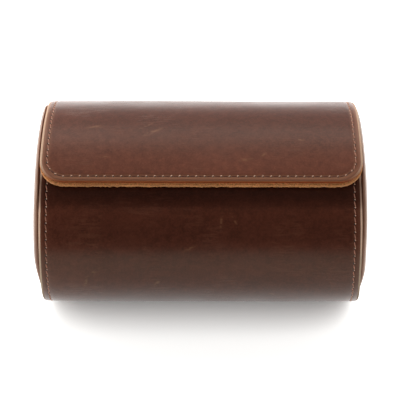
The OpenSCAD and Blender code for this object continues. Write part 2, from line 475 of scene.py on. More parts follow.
def corner_place(x, ahead, radius):
    """Moves a point of the square-cut sheet onto the rounded corner.

    ahead is its distance from the front edge, and comes back with its new x.
    """
    across = HALF - abs(x)
    if across >= radius - 1e-6 or ahead >= radius - 1e-6:
        return x, ahead
    cuts = [d for d in EDGE_CUTS if d <= radius + 1e-6]
    i = int(np.argmin([abs(across - d) for d in cuts]))
    j = int(np.argmin([abs(ahead - d) for d in cuts]))
    k, far = min(i, j), len(cuts) - 1
    turn = math.radians(45) * (1 - (max(i, j) - k) / max(1, far - k))
    r = radius - cuts[k]
    out, front = r * math.cos(turn), r * math.sin(turn)
    if i > j:
        out, front = front, out
    return (HALF - radius + out) * (1 if x > 0 else -1), radius - front


def round_corners(x, s, radius):
    """Each point's x and its distance from the flap's front edge, with the corners cut round."""
    return np.array(
        [corner_place(xi, FLAP_END - si, radius) for xi, si in zip(x, s, strict=True)]
    ).T


# Materials


def tinted(base, *by):
    """A colour with its channels multiplied, by one number or by one for each."""
    by = by * 3 if len(by) == 1 else by
    return tuple(channel * share for channel, share in zip(base, by, strict=True))


class Nodes:
    """A short way to write the nodes of a new material, or of the world."""

    def __init__(self, name, world=None):
        owner = world or bpy.data.materials.new(name)
        owner.use_nodes = True
        self.tree = owner.node_tree
        self.tree.nodes.clear()
        if world is None:
            self.material = owner
            self.shader = self.add("ShaderNodeBsdfPrincipled")
            out = self.add("ShaderNodeOutputMaterial")
            self.link(self.shader.outputs["BSDF"], out.inputs["Surface"])

    def add(self, kind, **settings):
        node = self.tree.nodes.new(kind)
        for key, value in settings.items():
            setattr(node, key, value)
        return node

    def link(self, a, b):
        self.tree.links.new(a, b)

    def put(self, inputs, **values):
        """Gives inputs, by name, a number, a colour or the result of another node."""
        for key, value in values.items():
            socket = inputs[key.replace("_", " ")]
            if isinstance(value, bpy.types.NodeSocket):
                self.link(value, socket)
            elif isinstance(value, (int, float)) or len(value) == len(socket.default_value):
                socket.default_value = value
            else:
                socket.default_value = (*value, 1.0)

    def set(self, **values):
        self.put(self.shader.inputs, **values)

    def coords(self, rest=False):
        if rest:
            return self.add("ShaderNodeAttribute", attribute_name="rest").outputs["Vector"]
        return self.add("ShaderNodeTexCoord").outputs["Object"]

    def value(self, name):
        return self.add("ShaderNodeAttribute", attribute_name=name).outputs["Fac"]

    def axes(self, vector):
        node = self.add("ShaderNodeSeparateXYZ")
        self.put(node.inputs, Vector=vector)
        return node.outputs

    def mapped(self, vector, scale=(1, 1, 1), turn=(0, 0, 0), kind="POINT"):
        node = self.add("ShaderNodeMapping", vector_type=kind)
        self.put(node.inputs, Scale=scale, Rotation=turn, Vector=vector)
        return node.outputs["Vector"]

    def noise(self, vector, scale, detail=3.0, rough=0.5, distortion=0.0):
        node = self.add("ShaderNodeTexNoise")
        self.put(
            node.inputs,
            Vector=vector,
            Scale=scale,
            Detail=detail,
            Roughness=rough,
            Distortion=distortion,
        )
        return node.outputs["Fac"]

    def ramp(self, factor, *stops):
        """Colours for a factor. Each stop is its place and a colour, or one number for a grey."""
        node = self.add("ShaderNodeValToRGB")
        elements = node.color_ramp.elements
        while len(elements) < len(stops):
            elements.new(0.5)
        for element, (position, colour) in zip(elements, stops, strict=True):
            element.position = position
            element.color = (*(colour if isinstance(colour, tuple) else (colour,) * 3), 1.0)
        self.link(factor, node.inputs["Fac"])
        return node.outputs["Color"]

    def spread(self, factor, low, high, to_low=0.0, to_high=1.0):
        node = self.add("ShaderNodeMapRange", interpolation_type="SMOOTHSTEP")
        self.put(
            node.inputs, Value=factor, From_Min=low, From_Max=high, To_Min=to_low, To_Max=to_high
        )
        return node.outputs["Result"]

    def mix(self, factor, a, b, blend="MIX"):
        node = self.add("ShaderNodeMix", data_type="RGBA", blend_type=blend)
        self.put(node.inputs, Factor=factor, A=a, B=b)
        return node.outputs["Result"]

    def math(self, operation, first, *others):
        """Works from left to right through its operands."""
        for other in others:
            node = self.add("ShaderNodeMath", operation=operation)
            for socket, value in zip(node.inputs, (first, other), strict=False):
                if isinstance(value, bpy.types.NodeSocket):
                    self.link(value, socket)
                else:
                    socket.default_value = value
            first = node.outputs["Value"]
        return first

    def times(self, *factors):
        return self.math("MULTIPLY", *factors)

    def plus(self, *terms):
        return self.math("ADD", *terms)

    def bump(self, height, strength, distance):
        node = self.add("ShaderNodeBump")
        self.put(node.inputs, Height=height, Strength=strength, Distance=distance)
        self.set(Normal=node.outputs["Normal"])


# Scuffs that the leather has taken: x and length along the section (mm), how far each
# is turned, and its length and width
SCUFFS = (
    # on the flap
    (-47.0, 281.0, 8.0, 5.0, 1.1), (-24.5, 280.0, 40.0, 5.0, 0.8), (-21.5, 284.5, 34.0, 6.0, 1.0),
    (-43.0, 300.0, 4.0, 3.0, 0.45), (19.0, 301.5, 12.0, 4.0, 0.9), (27.0, 299.0, 50.0, 2.5, 0.6),
    (44.0, 290.0, -12.0, 3.0, 0.5),
    # on the body
    (-47.0, 54.0, 38.0, 5.0, 0.8), (-50.5, 60.0, 78.0, 3.5, 0.8), (-19.0, 60.0, 64.0, 3.8, 0.9),
    (9.0, 30.0, 84.0, 5.0, 0.6), (14.5, 29.0, -58.0, 4.0, 0.5), (31.0, 68.0, -40.0, 3.5, 0.6),
    (-5.0, 42.0, 25.0, 4.0, 0.6),
)


def scuff_marks(n, at):
    """Where the scuffs are: one at a scuff's middle, fading out to its ends."""
    marks = []
    for x, s, turn, length, width in SCUFFS:
        away = n.add("ShaderNodeVectorMath", operation="SUBTRACT")
        n.link(at, away.inputs[0])
        away.inputs[1].default_value = place(x, s, 0.0)
        ny, nz = outward(s)
        tilt = (math.atan2(nz, ny) - math.pi / 2, 0, 0)
        laid = n.mapped(away.outputs["Vector"], turn=tilt, kind="TEXTURE")
        reach = (length * 1.2 * MM, width * 1.5 * MM, 2.5 * MM)
        far = n.add("ShaderNodeVectorMath", operation="LENGTH")
        n.link(n.mapped(laid, reach, (0, 0, math.radians(turn)), "TEXTURE"), far.inputs[0])
        marks.append(n.spread(far.outputs["Value"], 1.0, 0.1))
    return n.plus(0.0, *marks)


def oiled_hide(name, base, edge, cut=True):
    """Smooth oiled hide that pales where it is rubbed, with light and shade painted into it.

    cut is for the hides that shape_hide lays: they have raw edges, scuffs, worn margins,
    painted light and painted shade, where it has stored them. The others only get a painted
    sheen on the rims of the pads.
    """
    n = Nodes(name)
    at = n.coords(rest=True)
    cloud = n.noise(at, 42.0, 4.0, 0.55)
    body = n.ramp(
        cloud, (0.3, tinted(base, 0.86)), (0.55, tinted(base, 1.0)), (0.75, tinted(base, 1.14))
    )
    # close under the eye the colour breaks into fine grain
    grain = n.noise(at, 1150.0, 4.0, 0.65)
    body = n.mix(n.spread(grain, 0.38, 0.68, 0.0, 0.5), body, tinted(base, 1.6))
    mottled = n.ramp(n.noise(at, 330.0, 3.0, 0.6), (0.32, 0.84), (0.5, 0.98), (0.68, 1.14))
    body = n.mix(1.0, body, mottled, "MULTIPLY")
    if cut:
        # painted light: the flap is lightened towards its front, and the hide towards its left end, where
        # more light falls on them
        body = n.mix(n.value("handled"), body, (1.45, 1.5, 1.5), "MULTIPLY")
    # short pale marks where the oil has moved
    where = n.noise(at, 55.0, 2.0)
    marks = n.noise(n.mapped(at, (90, 700, 700), (0.3, 0.2, 0.5)), 1.0, 3.0, 0.6)
    rubbed = n.times(n.spread(marks, 0.62, 0.8), n.spread(where, 0.5, 0.66), 0.45)
    pale = tinted(base, 2.3, 3.2, 2.8)
    body = n.mix(rubbed, body, pale)
    # soft creases that run along the roll
    creases = n.noise(n.mapped(at, (120, 800, 800)), 1.0, 3.0, 0.6, 1.2)
    creased = n.times(
        n.spread(creases, 0.52, 0.62), n.spread(creases, 0.72, 0.64), n.spread(where, 0.46, 0.62)
    )
    body = n.mix(n.times(creased, 0.4), body, tinted(base, 1.9, 2.3, 2.2))
    # one soft shine over all the hide, in patches
    rough = n.spread(n.noise(at, 60.0, 2.0, 0.5), 0.3, 0.7, 0.29, 0.33)
    n.set(Specular_IOR_Level=0.19, Specular_Tint=(1.0, 0.84, 0.7, 1.0))
    if cut:
        body, rough = cut_hide(n, at, where, body, rough, base, edge)
    else:
        # painted sheen: the pads' rims are paled, as if they caught grazing light
        pulled = n.times(n.value("pulled"), n.spread(where, 0.25, 0.65, 0.45, 1.0))
        body = n.mix(pulled, body, tinted(base, 3.6, 7.0, 8.0))
    n.set(Base_Color=body, Roughness=rough)
    n.bump(n.plus(n.times(grain, 0.6), n.times(creased, -0.5)), 0.4, 0.00014)
    return n.material


def cut_hide(n, at, where, body, rough, base, edge):
    """Adds scuffs, worn margins and raw edges to a hide's colour and roughness."""
    away, worn, front, low = (n.value(stored) for stored in ("cut", "worn", "front", "low"))
    streaks = n.noise(n.mapped(at, (350, 900, 900), (0.2, 0.3, 0.4)), 1.0, 3.0)
    scuffs = n.times(scuff_marks(n, at), n.spread(streaks, 0.42, 0.62), 0.9)
    body = n.mix(scuffs, body, tinted(base, 2.3, 3.2, 2.8))
    # the margin outside the stitches; on the flap's front the band from its edge to just inside
    # the stitches, paled by wear and by a painted highlight; the shoulder at the very edge, paled
    # by wear and by a painted highlight; and the groove that the stitches lie in, darkened as
    # painted shade
    ragged = n.plus(away, n.times(n.noise(at, 900.0, 2.0), 0.18))
    margin = n.times(n.spread(ragged, 3.4, 2.7), 0.5)
    body = n.mix(margin, body, tinted(base, 1.15, 0.95, 0.9))
    held = n.times(worn, n.spread(front, 0.0, 1.0, 0.3, 0.85), n.spread(away, 4.8, 3.7))
    body = n.mix(held, body, tinted(base, 3.2, 5.0, 4.8))
    worn_and_highlit_shoulder = n.times(n.spread(ragged, 2.5, 1.3), worn, n.spread(where, 0.3, 0.7, 0.75, 1.0))
    body = n.mix(worn_and_highlit_shoulder, body, tinted(base, 3.1, 4.8, 5.2))
    groove_shade = n.times(n.spread(away, 2.8, 3.1), n.spread(away, 3.7, 3.3), 0.4)
    body = n.mix(groove_shade, body, tinted(base, 0.55))
    raw = n.mix(n.noise(at, 1500.0, 3.0), tinted(edge, 0.8), tinted(edge, 1.1))
    raw = n.mix(1.0, raw, n.mix(worn, (1.15, 1.15, 1.15), (0.84, 0.81, 0.78)), "MULTIPLY")
    # it is darker towards the underside
    toward_underside = n.spread(n.axes(at)["Z"], 0.036, 0.02, 0.0, 0.75)
    raw = n.mix(toward_underside, raw, (0.26, 0.15, 0.1))
    # along the flap's front the cut is oiled darker, and next to the suede it is darker still, as painted
    # shadow of the gap between them
    oiled_edge_and_gap_shade = tinted(edge, 0.46, 0.22, 0.12), tinted(edge, 0.34, 0.09, 0.025)
    raw = n.mix(front, raw, n.mix(n.spread(away, 0.2, 0.1), *oiled_edge_and_gap_shade))
    # at the flap's two ends the cut is rubbed round onto the face
    rolled = n.math("SUBTRACT", n.plus(0.38, n.times(worn, 0.2)), n.times(front, 0.34))
    bare = n.spread(n.math("SUBTRACT", n.plus(ragged, 0.3), rolled), 0.95, 0.6)
    body = n.mix(bare, body, raw)
    # painted shadow: under the flap's edge the body's hide is darkened and its shine lowered
    lee = n.value("lee")
    body = n.mix(lee, body, (0.4, 0.36, 0.36), "MULTIPLY")
    # and low down on the roll it is darkened and cooled as painted shade, with a little more shine
    body = n.mix(low, body, (0.7, 0.78, 0.78), "MULTIPLY")
    n.set(Specular_IOR_Level=n.plus(n.spread(lee, 0.0, 1.0, 0.19, 0.06), n.times(low, 0.025)))
    return body, n.mix(bare, rough, (0.8, 0.8, 0.8))


def split_suede(name, base):
    """Tan suede: a short nap of crossing fibres that lie one way in patches."""
    n = Nodes(name)
    at = n.coords(rest=True)
    nap = n.noise(at, 1700.0, 4.0, 0.7, 0.6)
    brushed = n.noise(n.mapped(at, (26, 60, 60), (0, 0, 0.4)), 1.0, 3.0, 0.6, 0.4)
    colour = n.ramp(
        nap, (0.34, tinted(base, 0.46)), (0.5, tinted(base, 1.0)), (0.66, tinted(base, 1.5))
    )
    mottled = n.ramp(n.noise(at, 430.0, 3.0, 0.6), (0.35, 0.9), (0.65, 1.06))
    colour = n.mix(1.0, colour, mottled, "MULTIPLY")
    colour = n.mix(n.times(n.spread(brushed, 0.38, 0.62), 0.35), colour, tinted(base, 0.72))
    n.bump(n.plus(nap, n.times(n.noise(at, 5200.0, 2.0, 0.7), 0.6)), 0.7, 0.00035)
    n.set(
        Base_Color=colour,
        Roughness=0.95,
        Specular_IOR_Level=0.25,
        Sheen_Weight=0.22,
        Sheen_Roughness=0.45,
        Sheen_Tint=(1.0, 0.86, 0.7, 1.0),
    )
    return n.material


def twisted_thread(name, base):
    """Waxed thread: a tight twist with a soft shine."""
    n = Nodes(name)
    twist = n.noise(n.mapped(n.coords(), turn=(0.5, 0.4, 0.3)), 4200.0, 2.0)
    colour = n.ramp(twist, (0.35, tinted(base, 0.7)), (0.65, tinted(base, 1.2)))
    n.bump(twist, 0.5, 0.0001)
    n.set(Base_Color=colour, Roughness=0.5, Specular_IOR_Level=0.4)
    return n.material


def pressed_board(name, base):
    """Grey-brown fibre board, with the layers of its cut edge."""
    n = Nodes(name)
    fibres = n.noise(n.mapped(n.coords(), (300, 1800, 1800)), 1.0, 4.0, 0.65)
    colour = n.ramp(fibres, (0.3, tinted(base, 0.7)), (0.7, tinted(base, 1.25)))
    n.bump(fibres, 0.35, 0.0002)
    n.set(Base_Color=colour, Roughness=0.9, Specular_IOR_Level=0.2)
    return n.material


def ground_steel(name, base):
    """Plated magnet steel with a fine ground finish."""
    n = Nodes(name)
    lines = n.noise(n.mapped(n.coords(), (200, 4000, 400)), 1.0, 3.0, 0.6)
    colour = n.ramp(lines, (0.3, tinted(base, 0.9)), (0.7, tinted(base, 1.05)))
    n.bump(lines, 0.1, 0.00005)
    n.set(Base_Color=colour, Roughness=n.spread(lines, 0.3, 0.7, 0.26, 0.4), Metallic=1.0)
    return n.material


def shared(name, make, *args):
    """A material that is made once and then used by every piece that has it."""
    return bpy.data.materials.get(name) or make(name, *args)


def hide_material():
    look = bpy.context.scene.roll_colours
    return shared("oiled_hide", oiled_hide, look.hide, look.raw_edge)


def pad_hide_material():
    look = bpy.context.scene.roll_colours
    return shared("pad_hide", oiled_hide, look.hide, look.raw_edge, False)


def suede_material():
    return shared("split_suede", split_suede, bpy.context.scene.roll_colours.suede)


# Settings


def length_setting(name, description, default, low, high):
    return bpy.props.FloatProperty(
        name=name, description=description, default=default, min=low, max=high, unit="LENGTH"
    )


def colour_setting(name, description, default):
    return bpy.props.FloatVectorProperty(
        name=name, description=description, subtype="COLOR", default=default, min=0, max=1
    )


class RollSizes(bpy.types.PropertyGroup):
    """Sizes of the roll's fine detail"""

    stitch_pitch: length_setting(
        "Stitch Pitch", "Distance from one stitch to the next", 0.0036, 0.002, 0.006
    )
    stitch_inset: length_setting(
        "Stitch Inset", "Distance of the stitch rows from the cut ends", 0.0032, 0.002, 0.006
    )
    thread_width: length_setting("Thread Width", "Width of the sewing thread", 0.0005, 0.0003, 0.001)
    suede_reach: length_setting(
        "Suede Reach", "How far the suede shows past the flap's front edge", 0.0012, 0.0, 0.003
    )
    corner_radius: length_setting(
        "Flap Corner", "Radius of the flap's two front corners", 0.011, 0.008, 0.016
    )


class RollColours(bpy.types.PropertyGroup):
    """Colours of the roll"""

    hide: colour_setting("Hide", "Oiled leather", (0.1, 0.0285, 0.0165))
    raw_edge: colour_setting("Raw Edge", "Cut edge of the leather", (0.82, 0.57, 0.42))
    suede: colour_setting("Suede", "Lining suede", (0.9, 0.385, 0.14))
    thread: colour_setting("Thread", "Sewing thread", (0.56, 0.24, 0.155))
    # painted shade: the thread of the flap's front row, darkened as if shaded in its groove
    sunk_thread: colour_setting(
        "Sunk Thread", "Thread that lies deep in the flap's front row", (0.13, 0.035, 0.02)
    )
    # painted highlight: a pale glint of thread at each hole
    fleck: colour_setting("Thread Fleck", "Thread at its hole", (0.98, 0.64, 0.47))
    board: colour_setting("Board", "Stiff board", (0.09, 0.055, 0.038))
    steel: colour_setting("Magnet", "Plating of the magnets", (0.62, 0.63, 0.66))


# The hide


def flap_shadow_band(s):
    """Painted shadow: how much a point lies in the band under the flap's edge on the body's front, which is
    darkened and dulled.
    """
    if s > FOLD_FROM or outward(s)[0] > 0:
        return 0.0
    return smooth((facing(s) - 47.0) / 10.0) * smooth((66.0 - facing(s)) / 3.0)


def shape_hide(piece, x, s, edge_distance, worn, radius=0.0):
    """Lays a hide's two faces at their depths, and stores what its material asks for.

    That is each vertex's distance from a cut edge, how worn its ends are, how much it
    belongs to the flap's front edge, how much painted light lightens it towards the flap's
    front and the left end, and how much it is of the painted shadow under the flap's edge
    and of the painted shade on the roll's low side.
    """
    outer, inner, rows = [], [], []
    for xi, si in zip(x, s, strict=True):
        d = edge_distance(xi, si)
        depth = hide_depth(d) - waviness(xi, si) * smooth(d / 9.0)
        outer.append(place(xi, si, max(-0.15, depth)))
        inner.append(place(xi, si, HIDE))
        ahead = FLAP_END - si
        out = max(0.0, radius - (HALF - abs(xi)))
        front = smooth(max(0.0, radius - ahead) / max(0.01, radius + 0.4 * out))
        # painted light: more of it towards the flap's front and the left end
        handled = smooth((34.0 - ahead) / 28.0) + 0.5 * smooth((-xi - 40.0) / 20.0)
        # how much of the painted shade low on the roll a point has
        low = smooth((24.0 - facing(si)) / 12.0)
        rows.append((d, worn, front, min(1.0, handled), flap_shadow_band(si), low))
    set_points(piece, outer + inner)
    names = ("cut", "worn", "front", "handled", "lee", "low")
    for name, values in zip(names, zip(*rows, strict=True), strict=True):
        store(piece, name, values + values)


class WATCH_ROLL_OT_body_leather(bpy.types.Operator):
    """Wrap the body's leather from the front wall's edge, under the roll and up the back"""

    bl_idname = "watch_roll.body_leather"
    bl_label = "Body Leather"

    def execute(self, context):
        rows = rows_between(0.0, FOLD_FROM, HIDE_STEP, [d for d in EDGE_CUTS if d < 9])
        piece, x, s = sheet("body_wrap", crosswise(CROSS_STEP), rows, HIDE)
        shape_hide(piece, x, s, lambda x, s: min(HALF - abs(x), s * 1.2), 0.3)
        finish_piece(piece, "case", hide_material())
        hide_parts("body_leather")
        return {"FINISHED"}


def flap_edge(x, s, radius):
    """A point's distance from the flap's cut outline, in which its front row of stitches
    lies closer to the edge than its side rows do."""
    side, ahead = HALF - abs(x), FLAP_END - s
    if side < radius and ahead < radius:
        out, front = radius - side, radius - ahead
        squeeze = 1 + 0.35 * front / max(1e-6, out + front)
        return max(0.0, (radius - math.hypot(out, front)) * squeeze)
    return max(0.0, min(side, ahead * 1.35))


class WATCH_ROLL_OT_flap_leather(bpy.types.Operator):
    """Lay the flap's leather over the top, with its two round front corners"""

    bl_idname = "watch_roll.flap_leather"
    bl_label = "Flap Leather"

    def execute(self, context):
        radius = context.scene.roll_sizes.corner_radius / MM
        piece, x, s = sheet("flap_wrap", crosswise(CROSS_STEP), flap_rows(HIDE_STEP), HIDE)
        x, ahead = round_corners(x, s, radius)
        shape_hide(piece, x, FLAP_END - ahead, lambda x, s: flap_edge(x, s, radius), 1.0, radius)
        finish_piece(piece, "flap", hide_material())
        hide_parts("flap_leather")
        return {"FINISHED"}


def fold(piece):
    """Bends a piece between the case and the flap."""
    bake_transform(piece, "case", "flap", start=place(0, FOLD_FROM, 0.8), end=place(0, FOLD_TO, 0.8))


class WATCH_ROLL_OT_hinge_leather(bpy.types.Operator):
    """Join the body and the flap with the strip of leather that folds"""

    bl_idname = "watch_roll.hinge_leather"
    bl_label = "Folding Strips"

    def execute(self, context):
        rows = rows_between(FOLD_FROM, FOLD_TO, 0.7)
        piece, x, s = sheet("hinge_strip", crosswise(CROSS_STEP), rows, HIDE)
        shape_hide(piece, x, s, lambda x, s: HALF - abs(x), 0.6)
        finish_piece(piece, None, hide_material())
        fold(piece)
        piece, x, s = sheet("hinge_suede", spaced(-LINING_HALF, LINING_HALF, 5.0), rows, SUEDE)
        shape_lining(piece, x, s, fold_depths)
        finish_piece(piece, None, suede_material())
        fold(piece)
        return {"FINISHED"}


# The suede


def shape_lining(piece, x, s, depths):
    """Lays the two faces of a lining at the depths given for each point of it."""
    outer, inner = [], []
    for xi, si in zip(x, s, strict=True):
        top, under = depths(xi, si)
        outer.append(place(xi, si, top))
        inner.append(place(xi, si, under + 0.5 * waviness(xi * 1.7, si * 1.7)))
    set_points(piece, outer + inner)


def fold_depths(x, s):
    """Across the fold the suede runs from behind the board to behind the flap's leather."""
    top = LINING_DEPTH + (1.65 - LINING_DEPTH) * lifted_share(s)
    return top, top + SUEDE


def flap_suede_depths(x, s):
    """The suede is thick at the margin, recessed over the stiffener and thin at the fold."""
    edge = min(HALF - abs(x), FLAP_END - s)
    board = smooth((edge - 4.4) / 0.5) * smooth((s - STIFF_END) / 3.0)
    thick = smooth((s - STIFF_END + 3.0) / 5.0)
    return 1.62 + 0.98 * board, 2.55 + 0.95 * thick


def nap(x):
    """How far the suede's front edge reaches out: it isn't cut clean, so it is uneven."""
    fine, broad = Vector((x / 0.8, 1.3, 0.2)), Vector((x / 2.3, 7.1, 0.4))
    return 0.34 * noise.noise(fine) + 0.14 * noise.noise(broad)


def fray(piece, x, ahead):
    """Roughens the two faces of the suede's front edge, so that light breaks up on it."""
    co = points_of(piece)
    for layer in (0, 1):
        for i, (xi, ai) in enumerate(zip(x, ahead, strict=True)):
            near = max(0.0, 1 - ai / 1.4)
            if near > 0:
                wave = noise.noise(Vector((xi / 0.8, ai / 0.5, layer * 9.0)))
                co[layer * len(x) + i, 2] += 0.16 * near * wave * MM
    set_points(piece, co)


class WATCH_ROLL_OT_suede(bpy.types.Operator):
    """Line the body and the flap with suede that shows past the flap's front edge"""

    bl_idname = "watch_roll.suede"
    bl_label = "Suede Linings"

    def execute(self, context):
        rows = rows_between(1.2, FOLD_FROM, SUEDE_STEP)
        piece, x, s = sheet("body_suede", spaced(-LINING_HALF, LINING_HALF, 5.0), rows, SUEDE)
        shape_lining(piece, x, s, lambda x, s: (LINING_DEPTH, LINING_DEPTH + SUEDE))
        finish_piece(piece, "case", suede_material())
        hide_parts("body_lining")

        sizes = context.scene.roll_sizes
        piece, x, s = sheet("flap_suede", crosswise(0.5), flap_rows(SUEDE_STEP), SUEDE)
        x, ahead = round_corners(x, s, sizes.corner_radius / MM)
        # the sheet is slid forwards by its reach, all of it near the front and none by the fold
        s = FLAP_END - ahead + sizes.suede_reach / MM * np.clip(1 - ahead / 40.0, 0, 1)
        s = s + np.array([nap(xi) for xi in x]) * np.clip(1 - ahead / 1.2, 0, 1)
        shape_lining(piece, x, s, flap_suede_depths)
        fray(piece, x, ahead)
        finish_piece(piece, "flap", suede_material(), 70.0)
        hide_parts("flap_lining")
        return {"FINISHED"}


# Pieces that keep their solid's outline, softened


def softened(name, node, width):
    """A copy of a CAD node's mesh, merged and cleaned, with its edges rolled over."""
    fresh()
    piece = linked(name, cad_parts[node].data.copy())
    piece.data.name = name
    take(piece)
    piece.data.materials.clear()
    edit_all()
    bpy.ops.mesh.remove_doubles(threshold=0.00002)
    bpy.ops.mesh.dissolve_limited(angle_limit=math.radians(0.5))
    leave_edit()
    modify(
        piece,
        "BEVEL",
        width=width * MM,
        segments=3,
        limit_method="ANGLE",
        angle_limit=math.radians(40),
        use_clamp_overlap=True,
    )
    return piece


class WATCH_ROLL_OT_trims(bpy.types.Operator):
    """Bind the front wall and the divider, and line the divider and the ends"""

    bl_idname = "watch_roll.trims"
    bl_label = "Bindings and Small Linings"

    def execute(self, context):
        hide, suede = (pad_hide_material(), "hide"), (suede_material(), "suede")
        for name, node, width, (material, slot) in (
            ("lip_trim", "lip_binding", 0.45, hide),
            ("divider_trim", "divider_binding", 0.5, hide),
            ("divider_suede_left", "divider_left_lining", 0.25, suede),
            ("divider_suede_right", "divider_right_lining", 0.25, suede),
            ("end_suede_left", "left_cap_lining", 0.25, suede),
            ("end_suede_right", "right_cap_lining", 0.25, suede),
        ):
            piece = softened(name, node, width)
            finish_piece(piece, "case", material, 35.0)
            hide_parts(node)
        return {"FINISHED"}


# The padded ends

# The end pad's rings: how far each lies inside the roll's outer face, and how far it
# stands out past the wall's cut end. The first ones are the turned edge behind the wall.
END_TURN = ((3.0, -5.0), (3.0, -3.0), (3.0, -1.2), (2.9, -0.55), (2.3, -0.3), (1.72, -0.1))
END_DOME = (
    (1.72, -0.1), (1.75, 0.55), (1.9, 1.15), (2.25, 1.65), (2.9, 2.08), (4.0, 2.48), (5.8, 2.85),
    (8.2, 3.15), (11.0, 3.4), (14.5, 3.62), (18.5, 3.82), (23.0, 4.0), (27.0, 4.12), (30.5, 4.2),
)


class WATCH_ROLL_OT_end_caps(bpy.types.Operator):
    """Pad the two ends: a tight dome of leather that rises from the seam"""

    bl_idname = "watch_roll.end_caps"
    bl_label = "Padded Ends"

    def execute(self, context):
        for way, side in ((-1, "left"), (1, "right")):
            piece = self.dome(f"{side}_end_pad", way)
            finish_piece(piece, "case", pad_hide_material(), 60.0)
            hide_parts(f"{side}_cap_leather", f"{side}_cap_padding")
        return {"FINISHED"}

    def dome(self, name, way):
        cy, cz, radius, first, _ = ARCS[UNDER]
        a = math.radians(first)
        edge = sorted(((WALL + out) * way, radius - inset) for inset, out in END_TURN)
        xs, radii = np.array(edge).T
        piece = straight_edge(name, xs, cy + radii * math.cos(a), cz + radii * math.sin(a))
        turn_oval([ARCS[i][:2] for i in (2, 3, 4, 1)], (24, 40, 30, 40))
        close_end(piece, way * (WALL + END_TURN[-1][1]))
        bpy.ops.mesh.select_mode(type="FACE")
        # ring by ring the end face is set in and raised, to the dome's flat middle
        for (d0, h0), (d1, h1) in zip(END_DOME, END_DOME[1:], strict=False):
            inset_faces(d1 - d0)
            bpy.ops.transform.translate(value=(way * (h1 - h0) * MM, 0, 0))
        bpy.ops.mesh.select_mode(type="VERT")
        close_end(piece, way * (WALL + END_TURN[0][1]))
        face_outwards()
        self.gather(piece, way)
        # the base is cut flat, level with the lining under it
        flatten_under(piece, 1.7)
        return piece

    def gather(self, piece, way):
        """Puckers the leather where the seam draws it in, and stuffs the pad unevenly."""
        # how high over the floor (mm) it starts to thin, and how far it swells on top
        slack, swell = (45.0, 2.2) if way < 0 else (39.5, 1.9)
        co = points_of(piece)
        pulled = np.zeros(len(co))
        for i, p in enumerate(co):
            over = abs(p[0]) / MM - WALL
            if over < 0.1:
                continue
            # a pale band round the pad's rim, for its painted sheen
            pulled[i] = smooth((over - 0.6) / 0.7) * smooth((3.5 - over) / 1.2)
            y, z = p[1] / MM, p[2] / MM - MIDDLE_Z
            turn = math.atan2(z * 1.25, y)
            near = math.exp(-over / 1.1)
            spot = Vector((math.cos(turn) * 9.0, math.sin(turn) * 9.0, 2.0 + way))
            pucker = 0.16 * noise.noise(spot) * near * min(1.0, over * 2.0 + 0.1)
            uneven = 0.12 * noise.noise(Vector((y / 22.0, z / 19.0, 5.0 * way))) * (1 - near)
            # the left pad is a little fuller all over, the right one over its top
            fuller = 0.09 if way < 0 else 0.13 * smooth((z - 4.0) / 24.0)
            # the pad is full over the top, and thins towards the roll's underside
            thinner = 0.92 * smooth((slack - z - MIDDLE_Z) / 22.0)
            p[0] += way * (pucker + uneven + over * (fuller - thinner)) * MM
            above = math.degrees(math.atan2(z, abs(y)))
            rise = smooth((above - 25.0) / 30.0) * smooth(over / 1.2)
            grow = swell * rise * math.exp(-((over / 3.2) ** 4)) / (math.hypot(y, z) or 1.0)
            p[1:] += np.array([y, z]) * grow * MM
        set_points(piece, co)
        store(piece, "pulled", pulled)


# The watch pillows: an oval like the roll's, with its own arcs' centres (mm), the radius
# of its wide arcs, and how far its seams lie inside its two ends
PILLOW_CENTRES = ((0.0, 37.5), (11.25, 22.5), (0.0, 7.5), (-11.25, 22.5))
PILLOW_RADIUS, PILLOW_SEAM = 37.5, 1.2
PILLOW_HALF_DEPTH, PILLOW_HALF_HEIGHT = 30.0, 22.5


def pillow_spot(inset):
    """Where the pillow's underside starts in front, as far inside its face as inset."""
    a = math.radians(ARCS[UNDER][3])
    cy, cz = PILLOW_CENTRES[0]
    radius = PILLOW_RADIUS - inset
    return cy + radius * math.cos(a), cz + radius * math.sin(a)


